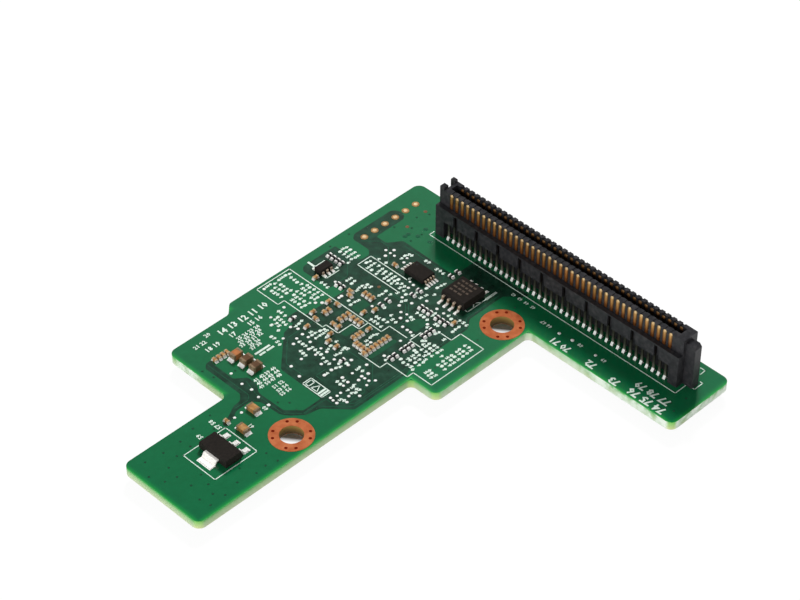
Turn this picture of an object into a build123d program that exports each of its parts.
"""Server riser card: a routed circuit board with a tall two-row connector and its small parts.

Millimetres. +X runs along the connector, +Y from the leg towards the connector, +Z out of the
component side. The origin is under the middle of the board, on the surface the card lies on.
"""

import os

from build123d import *

os.makedirs("parts", exist_ok=True)

# Board outline, measured from its far corner (left edge, back edge)
board_width = 72.1
board_length = 83.6
board_thickness = 1.6
body_width = 40.45
arm_depth = 14.8
near_shoulder = 36.9
far_shoulder = 61.25
near_step = 5.75
leg_width = 18.1
edge_step = 2.0
edge_step_start = 45.7
outer_corner = 1.5
inner_corner = 1.2

# Mounting holes with their copper rings
hole_diameter = 4.1
hole_edge_distance = 4.2
body_hole_back = 16.75
leg_hole_back = 59.85
ring_diameter = 7.62
copper_thickness = 0.05
ring_via_circle = 6.28
ring_via_diameter = 0.45
ring_via_sides = 8
ring_via_angles = (30, 60)

# Row of header pads
header_left = 3.7
header_back = 4.6
header_pitch = 2.54
header_count = 6
header_drill = 0.8
header_pad_diameter = 1.35

# Network controller under the board
ball_height = 0.4
ball_diameter = 0.6
ball_pitch = 1.27
balls_per_side = 12
substrate_size = 17.0
substrate_thickness = 0.35
mould_size = 15.4
mould_thickness = 0.85
mould_draft = 12
controller_left = 21.3
controller_back = 33.7

# Connector housing
contact_pitch = 1.27
contact_count = 40
end_margin = 2.84
connector_left = 39.25
connector_back = 5.0
housing_depth = 5.4
ledge_height = 6.5
skirt_height = 3.7
wall_height = 9.65
front_wall_setback = 1.0
front_wall_thickness = 1.1
slot_width = 1.55
slot_floor = 5.2
slot_end_wall = 1.6
rear_wall_thickness = 0.75
end_block_length = 1.95
keel_thickness = 1.7
keel_gap = 0.4
skirt_notch_width = 1.0
skirt_notch_depth = 0.7
skirt_notch_top = 0.3
skirt_notch_every = 4
post_length = 0.95
post_rise = 0.65
post_rounding = 0.3
post_gap_depth = 1.3
key_length = 2.0
key_width = 1.6
key_height = 8.9
key_chamfer = 0.4
dip_width = 0.5
front_dip = 0.12
rear_dip = 0.28

# Contacts
contact_thickness = 0.2
contact_proud = 0.05
blade_width = 0.7
leg_strip_width = 0.5
leg_setback = 0.4
jog_cover = 0.6
toe_length = 0.15
blade_top_gap = 0.15
tip_chamfer = 0.14
contact_clearance = 0.03

# Regulator: moulded body with one heat tab and three leads
regulator_length = 6.5
regulator_width = 3.5
regulator_height = 1.6
regulator_span = 7.0
regulator_lead_pitch = 2.3
regulator_lead_width = 0.75
regulator_tab_width = 3.0
regulator_end_distance = 12.85

# Memory chip
memory_length = 5.3
memory_width = 5.2
memory_height = 1.75
memory_span = 7.9
memory_lead_pitch = 1.27
memory_lead_width = 0.42
memory_leads_per_side = 4
memory_left = 26.85
memory_back = 16.45

# Supervisor chip
supervisor_length = 3.0
supervisor_width = 4.4
supervisor_height = 1.05
supervisor_span = 6.4
supervisor_lead_pitch = 0.65
supervisor_lead_width = 0.26
supervisor_leads_per_side = 4
supervisor_left = 17.55
supervisor_back = 17.6

# Switch chip
switch_length = 2.9
switch_width = 1.6
switch_height = 1.05
switch_span = 2.8
switch_lead_pitch = 0.95
switch_lead_width = 0.4
switch_leads_per_side = 3
switch_left = 5.05
switch_back = 28.4

# Lead forming shared by the chips
body_draft = 7
standoff = 0.1
lead_thickness = 0.2
shoulder_share = 0.3
foot_share = 0.45

# Chip capacitors and resistors: length, width, height and end terminal length
small_chip = (1.0, 0.5, 0.5, 0.25)
resistor_chip = (1.0, 0.5, 0.35, 0.25)
large_chip = (2.0, 1.25, 1.2, 0.4)
medium_chip = (2.0, 1.25, 0.85, 0.35)
terminal_wrap = 0.02

# Rows of chips: x and y of the first from the far corner, steps, count, turn about Z.
# The places are drawn for this body width and spread with the real one
drawn_body_width = 40.45
small_capacitor_rows = [
    (25.2, 32.8, 0, 0.92, 7, 0),
    (21.25, 35.2, 0, 0.85, 3, 0),
    (21.45, 33.6, 0, 0, 1, 90),
    (16.35, 33.4, 0, 1.0, 3, 0),
    (16.35, 36.9, 0, 0, 1, 0),
    (17.55, 33.6, 0.95, 0, 3, 90),
    (17.5, 36.8, 0, 0, 1, 90),
    (17.85, 31.3, 0, 0, 1, 90),
    (18.75, 29.5, 0, 0, 1, 90),
    (14.55, 27.8, 0.9, 0, 3, 90),
    (13.65, 40.5, 0, 0, 1, 90),
    (18.85, 40.45, 1.9, 0, 2, 90),
    (17.75, 39.0, 0, 0, 1, 90),
    (11.65, 33.6, 0, 0, 1, 90),
    (13.25, 33.0, 0, 0, 1, 0),
    (13.25, 35.0, 0, 0.95, 2, 0),
    (13.25, 38.1, 0, 0, 1, 0),
    (11.75, 37.3, 0, 0, 1, 90),
    (5.65, 30.9, 0, 0, 1, 90),
    (12.4, 29.1, 0.7, 0.85, 2, 0),
    (12.95, 18.9, 0, 0, 1, 0),
    (8.95, 54.3, 0, 0.9, 4, 0),
    (21.05, 65.3, 0, 0, 1, 0),
    (30.45, 22.4, 0, 0, 1, 90),
    (22.5, 37.6, 0.8, 0, 3, 90),
]
resistor_rows = [
    (3.05, 25.1, 1.0, 0, 4, 90),
    (9.55, 29.35, 1.1, 0, 2, 90),
    (10.45, 40.9, 0, 0, 1, 90),
    (23.65, 23.4, 1.05, 0, 3, 90),
    (27.45, 23.4, 1.1, 0, 3, 90),
    (29.05, 26.2, 0, 1.05, 3, 0),
    (29.05, 31.2, 0, 1.0, 3, 0),
    (29.05, 34.9, 0, 1.1, 2, 0),
    (18.5, 26.2, 0, 1.6, 2, 0),
    (20.5, 20.6, 0, 1.6, 2, 0),
    (23.75, 42.0, 0, 0, 1, 90),
    (21.75, 12.5, 0, 1.6, 2, 0),
]
large_capacitor_rows = [
    (10.75, 53.9, 0, 0, 1, 90),
    (12.9, 53.5, 2.25, 0, 2, 90),
]
medium_capacitor_rows = [
    (22.05, 60.4, 2.3, 4.3, 2, 0),
]

# Levels and edges that the pieces share
board_bottom = ball_height + substrate_thickness + mould_thickness
board_top = board_bottom + board_thickness
left_edge = -board_width / 2
right_edge = board_width / 2
back_edge = board_length / 2
leg_end = -board_length / 2
body_near_edge = left_edge + body_width
leg_near_edge = body_near_edge - near_step
leg_far_edge = leg_near_edge - leg_width
hole_places = [
    (body_near_edge - hole_edge_distance, back_edge - body_hole_back),
    (leg_near_edge - hole_edge_distance, back_edge - leg_hole_back),
]
place_spread = body_width / drawn_body_width
via_turns = [quarter + angle for quarter in (0, 90, 180, 270) for angle in ring_via_angles]


def from_corner(x, y):
    """Place on the board, measured from its far corner and spread with the body's width."""
    return (left_edge + x * place_spread, back_edge - y)


def row_locations(rows, height):
    """Locations of every chip in rows of chips, at a height."""
    places = []
    for first_x, first_y, step_x, step_y, count, turn in rows:
        for index in range(count):
            x, y = from_corner(first_x + step_x * index, first_y + step_y * index)
            places.append(Location((x, y, height), (0, 0, turn)))
    return places


def save(builder, name):
    """Label a finished piece and write its STEP file."""
    builder.part.label = name
    export_step(builder.part, f"parts/{name}.step")


# Circuit board
header_x = left_edge + header_left
header_y = back_edge - header_back - header_pitch * (header_count - 1) / 2
header_centre = (header_x, header_y)
outline = [
    (left_edge, back_edge),
    (left_edge, back_edge - edge_step_start),
    (left_edge + edge_step, back_edge - edge_step_start - edge_step),
    (left_edge + edge_step, back_edge - far_shoulder),
    (leg_far_edge, back_edge - far_shoulder),
    (leg_far_edge, leg_end),
    (leg_near_edge, leg_end),
    (leg_near_edge, back_edge - near_shoulder),
    (body_near_edge, back_edge - near_shoulder),
    (body_near_edge, back_edge - arm_depth),
    (right_edge, back_edge - arm_depth),
    (right_edge, back_edge),
]
corner_radii = [
    outer_corner,
    inner_corner,
    inner_corner,
    outer_corner,
    inner_corner,
    outer_corner,
    outer_corner,
    inner_corner,
    outer_corner,
    inner_corner,
    outer_corner,
    outer_corner,
]

with BuildPart() as circuit_board:
    with BuildSketch(Plane.XY.offset(board_bottom)):
        with BuildLine():
            FilletPolyline(*outline, radius=corner_radii, close=True)
        make_face()
        with Locations(*hole_places):
            Circle(hole_diameter / 2, mode=Mode.SUBTRACT)
            for turn in via_turns:
                with PolarLocations(ring_via_circle / 2, 1, start_angle=turn):
                    RegularPolygon(ring_via_diameter / 2, ring_via_sides, mode=Mode.SUBTRACT)
        with Locations(header_centre):
            with GridLocations(0, header_pitch, 1, header_count):
                Circle(header_drill / 2, mode=Mode.SUBTRACT)
    extrude(amount=board_thickness)
save(circuit_board, "circuit_board")

# Copper rings around the mounting holes, above and below the board
with BuildPart() as mounting_rings:
    for level in (board_top, board_bottom - copper_thickness):
        with BuildSketch(Plane.XY.offset(level)):
            with Locations(*hole_places):
                Circle(ring_diameter / 2)
                Circle(hole_diameter / 2, mode=Mode.SUBTRACT)
                for turn in via_turns:
                    with PolarLocations(ring_via_circle / 2, 1, start_angle=turn):
                        RegularPolygon(ring_via_diameter / 2, ring_via_sides, mode=Mode.SUBTRACT)
        extrude(amount=copper_thickness)
save(mounting_rings, "mounting_rings")

# Header pads: a filled plated hole with a land on each side
with BuildPart() as header_pads:
    with BuildSketch(Plane.XY.offset(board_bottom - copper_thickness)):
        with Locations(header_centre):
            with GridLocations(0, header_pitch, 1, header_count):
                Circle(header_drill / 2)
    extrude(amount=board_thickness + 2 * copper_thickness)
    for level in (board_top, board_bottom - copper_thickness):
        with BuildSketch(Plane.XY.offset(level)):
            with Locations(header_centre):
                with GridLocations(0, header_pitch, 1, header_count):
                    Circle(header_pad_diameter / 2)
        extrude(amount=copper_thickness)
save(header_pads, "header_pads")

# Network controller: balls, substrate and moulded cap hang below the board
controller_centre = from_corner(controller_left, controller_back)
substrate_top = board_bottom - ball_height
ball_square = ball_pitch * (balls_per_side - 1) / 2
edge_steps = [ball_pitch * index - ball_square for index in range(balls_per_side)]
ball_places = [(x, side) for x in edge_steps for side in (-ball_square, ball_square)]
ball_places += [(side, y) for y in edge_steps[1:-1] for side in (-ball_square, ball_square)]

with BuildPart() as controller_balls:
    with BuildSketch(Plane.XY.offset(substrate_top)):
        with Locations(controller_centre):
            with Locations(*ball_places):
                RegularPolygon(ball_diameter / 2, 6)
    extrude(amount=ball_height)
save(controller_balls, "controller_balls")

with BuildPart() as controller_substrate:
    with BuildSketch(Plane.XY.offset(substrate_top)):
        with Locations(controller_centre):
            Rectangle(substrate_size, substrate_size)
    extrude(amount=-substrate_thickness)
save(controller_substrate, "controller_substrate")

with BuildPart() as controller_mould:
    with BuildSketch(Plane.XY.offset(substrate_top - substrate_thickness)):
        with Locations(controller_centre):
            Rectangle(mould_size, mould_size)
    extrude(amount=-mould_thickness, taper=mould_draft)
save(controller_mould, "controller_mould")

# Connector housing
connector_x = left_edge + connector_left
row_length = contact_pitch * (contact_count - 1)
housing_length = row_length + 2 * end_margin
housing_rear = back_edge - connector_back + housing_depth / 2
housing_front = housing_rear - housing_depth
housing_y = (housing_front + housing_rear) / 2
front_wall_y = housing_front + front_wall_setback
slot_front_y = front_wall_y + front_wall_thickness
rear_wall_y = slot_front_y + slot_width
rear_wall_back_y = rear_wall_y + rear_wall_thickness
housing_left = connector_x - housing_length / 2
housing_right = connector_x + housing_length / 2
ledge_z = board_top + ledge_height
skirt_z = board_top + skirt_height
wall_z = board_top + wall_height
front_blade_y = front_wall_y - contact_proud
rear_blade_y = rear_wall_y - contact_proud
front_leg_y = housing_front + leg_setback
rear_leg_y = housing_rear - leg_setback - contact_thickness
jog_top = ledge_z - jog_cover
jog_bottom = jog_top - contact_thickness
keel_y = (front_blade_y + contact_thickness + rear_blade_y) / 2
notch_count = contact_count // skirt_notch_every
groove_depth = contact_thickness - contact_proud + contact_clearance
groove_width = blade_width + 2 * contact_clearance
blade_rise = wall_height - blade_top_gap - ledge_height
grooves = [
    (front_wall_y, blade_rise + contact_clearance),
    (rear_wall_y, wall_height - ledge_height),
]
low_corner = (Align.MIN, Align.MIN, Align.MIN)
high_front = (Align.CENTER, Align.MIN, Align.MIN)

with BuildPart() as connector_housing:
    # Base slab with the ledge, and the end blocks that stand on the board
    with Locations((connector_x, housing_front, skirt_z)):
        Box(housing_length, housing_depth, ledge_height - skirt_height, align=high_front)
    for block_x in (housing_left, housing_right - end_block_length):
        with Locations((block_x, housing_front, board_top)):
            Box(end_block_length, housing_depth, skirt_height, align=low_corner)
    # Keel between the two rows of legs
    with Locations((connector_x, keel_y, board_top + keel_gap)):
        keel_align = (Align.CENTER, Align.CENTER, Align.MIN)
        Box(housing_length, keel_thickness, skirt_height - keel_gap, align=keel_align)
    # Both walls in one block, with the slot between them
    with Locations((connector_x, front_wall_y, ledge_z)):
        Box(housing_length, rear_wall_back_y - front_wall_y, wall_z - ledge_z, align=high_front)
    with Locations((connector_x, slot_front_y, board_top + slot_floor)):
        slot_length = housing_length - 2 * slot_end_wall
        Box(slot_length, slot_width, wall_height, align=high_front, mode=Mode.SUBTRACT)
    # Guide posts at one end, with the gap between them
    with Locations((housing_left, slot_front_y, wall_z - post_gap_depth)):
        Box(post_length, slot_width, wall_height, align=low_corner, mode=Mode.SUBTRACT)
    posts = [(front_wall_y, front_wall_thickness), (rear_wall_y, rear_wall_thickness)]
    for post_y, post_depth in posts:
        with Locations((housing_left, post_y, wall_z)):
            Box(post_length, post_depth, post_rise, align=low_corner)
    post_tops = connector_housing.faces().sort_by(Axis.Z)[-len(posts):]
    fillet(post_tops.edges(), post_rounding)
    # Polarising key on the other end
    with Locations((housing_right, keel_y, board_top)):
        key_align = (Align.MIN, Align.CENTER, Align.MIN)
        Box(key_length, key_width, key_height, align=key_align)
    key_face = connector_housing.faces().filter_by(Axis.X).sort_by(Axis.X)[-1]
    chamfer(key_face.edges().sort_by(Axis.Z)[-1], key_chamfer)
    # Notches in the skirt
    with Locations((connector_x, housing_front, skirt_z)):
        with GridLocations(contact_pitch * skirt_notch_every, 0, notch_count, 1):
            notch_height = ledge_height - skirt_notch_top - skirt_height
            Box(skirt_notch_width, skirt_notch_depth, notch_height, align=high_front, mode=Mode.SUBTRACT)
    # Grooves for the blades and passages for the legs
    for wall_y, groove_height in grooves:
        with Locations((connector_x, wall_y, ledge_z)):
            with GridLocations(contact_pitch, 0, contact_count, 1):
                Box(groove_width, groove_depth, groove_height, align=high_front, mode=Mode.SUBTRACT)
    passage_depth = contact_thickness + 2 * contact_clearance
    passage_width = leg_strip_width + 2 * contact_clearance
    jog_low = jog_bottom - contact_clearance
    jog_high = jog_top + contact_clearance
    for blade_y, leg_y in ((front_blade_y, front_leg_y), (rear_blade_y, rear_leg_y)):
        jog_depth = abs(blade_y - leg_y) + passage_depth
        passages = [
            (blade_y, passage_depth, jog_low, ledge_z),
            (min(blade_y, leg_y), jog_depth, jog_low, jog_high),
            (leg_y, passage_depth, skirt_z, jog_high),
        ]
        for near_y, depth, low_z, high_z in passages:
            with Locations((connector_x, near_y - contact_clearance, low_z)):
                with GridLocations(contact_pitch, 0, contact_count, 1):
                    Box(passage_width, depth, high_z - low_z, align=high_front, mode=Mode.SUBTRACT)
    # Dips along the tops of the walls, one over each contact
    dips = [(front_wall_y, front_wall_thickness, front_dip), (rear_wall_y, rear_wall_thickness, rear_dip)]
    for wall_y, wall_thickness, dip in dips:
        with Locations((connector_x, wall_y, wall_z - dip)):
            with GridLocations(contact_pitch, 0, contact_count, 1):
                Box(dip_width, wall_thickness, wall_height, align=high_front, mode=Mode.SUBTRACT)
save(connector_housing, "connector_housing")


def contact(blade_y, leg_y, outward, blade_top):
    """One stamped contact at X 0: foot, straight leg, a jog in the housing, blade with a chamfered tip."""
    blade_faces = (blade_y, blade_y + contact_thickness)
    leg_faces = (leg_y, leg_y + contact_thickness)
    blade_outer, blade_inner = blade_faces if outward < 0 else blade_faces[::-1]
    leg_outer, leg_inner = leg_faces if outward < 0 else leg_faces[::-1]
    back_y = blade_y + contact_thickness
    toe_y = leg_outer + outward * toe_length
    foot_top = board_top + contact_thickness
    with BuildPart() as strip:
        with BuildSketch(Plane.YZ):
            with BuildLine():
                Polyline(
                    (leg_inner, board_top),
                    (toe_y, board_top),
                    (toe_y, foot_top),
                    (leg_outer, foot_top),
                    (leg_outer, jog_top),
                    (blade_outer, jog_top),
                    (blade_outer, ledge_z),
                    (blade_inner, ledge_z),
                    (blade_inner, jog_bottom),
                    (leg_inner, jog_bottom),
                    close=True,
                )
            make_face()
        extrude(amount=leg_strip_width / 2, both=True)
        with BuildSketch(Plane.YZ):
            with BuildLine():
                Polyline(
                    (blade_y, ledge_z),
                    (back_y, ledge_z),
                    (back_y, blade_top),
                    (blade_y + tip_chamfer, blade_top),
                    (blade_y, blade_top - 2 * tip_chamfer),
                    close=True,
                )
            make_face()
        extrude(amount=blade_width / 2, both=True)
    return strip.part


blade_top_z = ledge_z + blade_rise
front_contact = contact(front_blade_y, front_leg_y, -1, blade_top_z)
rear_contact = contact(rear_blade_y, rear_leg_y, 1, blade_top_z - rear_dip)

with BuildPart() as connector_front_contacts:
    with Locations((connector_x, 0, 0)):
        with GridLocations(contact_pitch, 0, contact_count, 1):
            add(front_contact)
save(connector_front_contacts, "connector_front_contacts")

with BuildPart() as connector_rear_contacts:
    with Locations((connector_x, 0, 0)):
        with GridLocations(contact_pitch, 0, contact_count, 1):
            add(rear_contact)
save(connector_rear_contacts, "connector_rear_contacts")


def moulded_body(place, length, width, height, turn):
    """Chip body with drafted sides above and below its parting line, on its standoff."""
    half = (height - standoff) / 2
    parting = board_top + standoff + half
    with BuildPart() as body:
        with BuildSketch(Plane.XY.offset(parting)) as outline_sketch:
            with Locations(Location(place, (0, 0, turn))):
                Rectangle(length, width)
        extrude(amount=half, taper=body_draft)
        extrude(outline_sketch.sketch, amount=-half, taper=body_draft)
    return body


def gull_lead(lead_width, height, width, span):
    """Lead that leaves the body's side at the parting line towards +Y and lands on the board."""
    rise = board_top + standoff + (height - standoff) / 2 + lead_thickness / 2
    side = width / 2
    toe = span / 2
    shoulder = side + (toe - side) * shoulder_share
    ankle = toe - (toe - side) * foot_share
    with BuildPart() as lead:
        with BuildSketch(Plane.YZ):
            with BuildLine():
                Polyline(
                    (side - lead_thickness, rise),
                    (shoulder, rise),
                    (ankle, board_top + lead_thickness),
                    (toe, board_top + lead_thickness),
                    (toe, board_top),
                    (ankle - lead_thickness, board_top),
                    (shoulder - lead_thickness, rise - lead_thickness),
                    (side - lead_thickness, rise - lead_thickness),
                    close=True,
                )
            make_face()
        extrude(amount=lead_width / 2, both=True)
    return lead.part


def lead_rows(place, turn, pitch, count, lead, body):
    """Leads along both long sides of a chip, trimmed where the body begins."""
    with BuildPart() as leads:
        for side in (0, 180):
            with Locations(Location(place, (0, 0, turn + side))):
                with GridLocations(pitch, 0, count, 1):
                    add(lead)
        add(body.part, mode=Mode.SUBTRACT)
    return leads


# Regulator near the end of the leg
regulator_place = ((leg_far_edge + leg_near_edge) / 2, leg_end + regulator_end_distance)
regulator_body = moulded_body(regulator_place, regulator_length, regulator_width, regulator_height, 0)
save(regulator_body, "regulator_body")

regulator_lead = gull_lead(regulator_lead_width, regulator_height, regulator_width, regulator_span)
with BuildPart() as regulator_leads:
    with Locations(regulator_place):
        with GridLocations(regulator_lead_pitch, 0, 3, 1):
            add(regulator_lead)
    add(regulator_body.part, mode=Mode.SUBTRACT)
save(regulator_leads, "regulator_leads")

regulator_tab_lead = gull_lead(regulator_tab_width, regulator_height, regulator_width, regulator_span)
with BuildPart() as regulator_tab:
    with Locations(Location(regulator_place, (0, 0, 180))):
        add(regulator_tab_lead)
    add(regulator_body.part, mode=Mode.SUBTRACT)
save(regulator_tab, "regulator_tab")

# Memory chip beside the connector
memory_place = from_corner(memory_left, memory_back)
memory_body = moulded_body(memory_place, memory_length, memory_width, memory_height, 0)
save(memory_body, "memory_body")
memory_lead = gull_lead(memory_lead_width, memory_height, memory_width, memory_span)
memory_leads = lead_rows(
    memory_place, 0, memory_lead_pitch, memory_leads_per_side, memory_lead, memory_body
)
save(memory_leads, "memory_leads")

# Supervisor chip, with its leads at the left and right
supervisor_place = from_corner(supervisor_left, supervisor_back)
supervisor_body = moulded_body(
    supervisor_place, supervisor_length, supervisor_width, supervisor_height, 90
)
save(supervisor_body, "supervisor_body")
supervisor_lead = gull_lead(
    supervisor_lead_width, supervisor_height, supervisor_width, supervisor_span
)
supervisor_leads = lead_rows(
    supervisor_place, 90, supervisor_lead_pitch, supervisor_leads_per_side, supervisor_lead, supervisor_body
)
save(supervisor_leads, "supervisor_leads")

# Switch chip near the far edge
switch_place = from_corner(switch_left, switch_back)
switch_body = moulded_body(switch_place, switch_length, switch_width, switch_height, 90)
save(switch_body, "switch_body")
switch_lead = gull_lead(switch_lead_width, switch_height, switch_width, switch_span)
switch_leads = lead_rows(
    switch_place, 90, switch_lead_pitch, switch_leads_per_side, switch_lead, switch_body
)
save(switch_leads, "switch_leads")


def chips(name, rows, size):
    """Bodies and end terminals of all chips of one size, soldered on the board."""
    length, width, height, terminal = size
    places = row_locations(rows, board_top)
    seat = (Align.CENTER, Align.CENTER, Align.MIN)
    with BuildPart() as bodies:
        with Locations(*places):
            with Locations((0, 0, terminal_wrap)):
                Box(length - 2 * terminal, width, height, align=seat)
    save(bodies, f"{name}_bodies")
    with BuildPart() as terminals:
        reach = (length - terminal) / 2
        with Locations(*places):
            with Locations((-reach, 0, 0), (reach, 0, 0)):
                Box(terminal, width + 2 * terminal_wrap, height + 2 * terminal_wrap, align=seat)
    save(terminals, f"{name}_terminals")


chips("small_capacitor", small_capacitor_rows, small_chip)
chips("medium_capacitor", medium_capacitor_rows, medium_chip)
chips("large_capacitor", large_capacitor_rows, large_chip)
chips("resistor", resistor_rows, resistor_chip)
